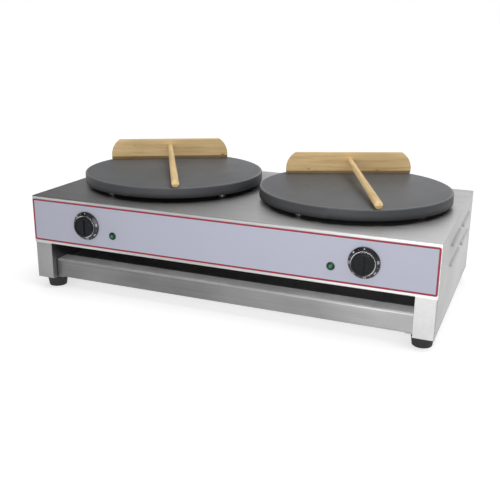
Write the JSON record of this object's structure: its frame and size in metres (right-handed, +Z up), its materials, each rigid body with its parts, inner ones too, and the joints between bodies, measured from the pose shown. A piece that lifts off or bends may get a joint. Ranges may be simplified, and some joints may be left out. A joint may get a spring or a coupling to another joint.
{
  "type": "electric crepe maker",
  "caption": "Electric crepe maker: round cast-iron plates side by side on a folded steel body, with a wide drawer, thermostat knobs, pilot lamps and wooden batter spreaders.",
  "frame": {"origin": "middle of the bounding box on the surface the feet stand on", "axes": "+X to the right along the width, +Y to the back, +Z up; the knobs face -Y"},
  "size_m": [0.869, 0.488, 0.289],
  "materials": {
    "deck_steel": "brushed along its width",
    "panel_steel": "brushed",
    "rear_steel": "brushed",
    "bay_steel": "plain mill finish",
    "drawer_steel": "brushed along its width",
    "tray_steel": "plain mill finish",
    "overlay": "satin, with a red border line",
    "plate_iron": "dark coated cooking face, turned",
    "leg_steel": "turned",
    "zinc": "zinc plated",
    "element_sheath": "heat-darkened sheath",
    "clamp_steel": "mill finish",
    "thermostat_case": "moulded",
    "capillary_copper": "drawn copper tube",
    "lamp_black": "moulded",
    "lens_green": "clear moulded lens",
    "block_ceramic": "glazed",
    "brass": "turned",
    "gland_black": "moulded",
    "foot_rubber": "moulded",
    "shaft_steel": "turned",
    "knob_black": "moulded, dial marks in white",
    "knob_bright": "polished",
    "spreader_wood": "planed pale wood"
  },
  "bodies": {
    "housing": {"top_shell": "deck_steel", "left_side_panel": "panel_steel", "right_side_panel": "panel_steel", "rear_panel": "rear_steel", "drawer_housing": "bay_steel", "fascia_overlay": "overlay", "left_plate": "plate_iron", "right_plate": "plate_iron", "left_plate_legs": "leg_steel", "right_plate_legs": "leg_steel", "plate_screws": "zinc", "clamp_bolts": "zinc", "thermostat_screws": "zinc", "case_screws": "zinc", "foot_screws": "zinc", "foot_nuts": "zinc", "left_heating_element": "element_sheath", "right_heating_element": "element_sheath", "left_element_clamp": "clamp_steel", "right_element_clamp": "clamp_steel", "left_thermostat": "thermostat_case", "right_thermostat": "thermostat_case", "left_capillary": "capillary_copper", "right_capillary": "capillary_copper", "left_lamp_body": "lamp_black", "right_lamp_body": "lamp_black", "left_lamp_lens": "lens_green", "right_lamp_lens": "lens_green", "terminal_block": "block_ceramic", "terminal_screws": "brass", "bonding_stud": "brass", "bonding_nuts": "brass", "gland_body": "gland_black", "gland_nut": "gland_black", "gland_locknut": "gland_black", "front_left_foot": "foot_rubber", "front_right_foot": "foot_rubber", "rear_left_foot": "foot_rubber", "rear_right_foot": "foot_rubber"},
    "drawer": {"drawer_tray": "tray_steel", "drawer_front": "drawer_steel"},
    "left_knob": {"left_shaft": "shaft_steel", "left_knob_skirt": "knob_black", "left_knob_ring": "knob_bright", "left_knob_grip": "knob_black"},
    "right_knob": {"right_shaft": "shaft_steel", "right_knob_skirt": "knob_black", "right_knob_ring": "knob_bright", "right_knob_grip": "knob_black"},
    "left_spreader": {"left_spreader_blade": "spreader_wood", "left_spreader_handle": "spreader_wood"},
    "right_spreader": {"right_spreader_blade": "spreader_wood", "right_spreader_handle": "spreader_wood"}
  },
  "joints": [
    {"name": "drawer_slide", "type": "slide", "parent": "housing", "child": "drawer", "axis": [0, -1, 0], "range_m": [0, 0.3]},
    {"name": "left_knob_turn", "type": "hinge", "parent": "housing", "child": "left_knob", "pos_m": [-0.295, -0.226, 0.1555], "axis": [0, 1, 0], "range_deg": [0, 280]},
    {"name": "right_knob_turn", "type": "hinge", "parent": "housing", "child": "right_knob", "pos_m": [0.295, -0.226, 0.1555], "axis": [0, 1, 0], "range_deg": [0, 280]},
    {"name": "left_spreader_lift", "type": "slide", "parent": "housing", "child": "left_spreader", "axis": [0, 0, 1], "range_m": [0, 0.15]},
    {"name": "right_spreader_lift", "type": "slide", "parent": "housing", "child": "right_spreader", "axis": [0, 0, 1], "range_m": [0, 0.15]}
  ]
}
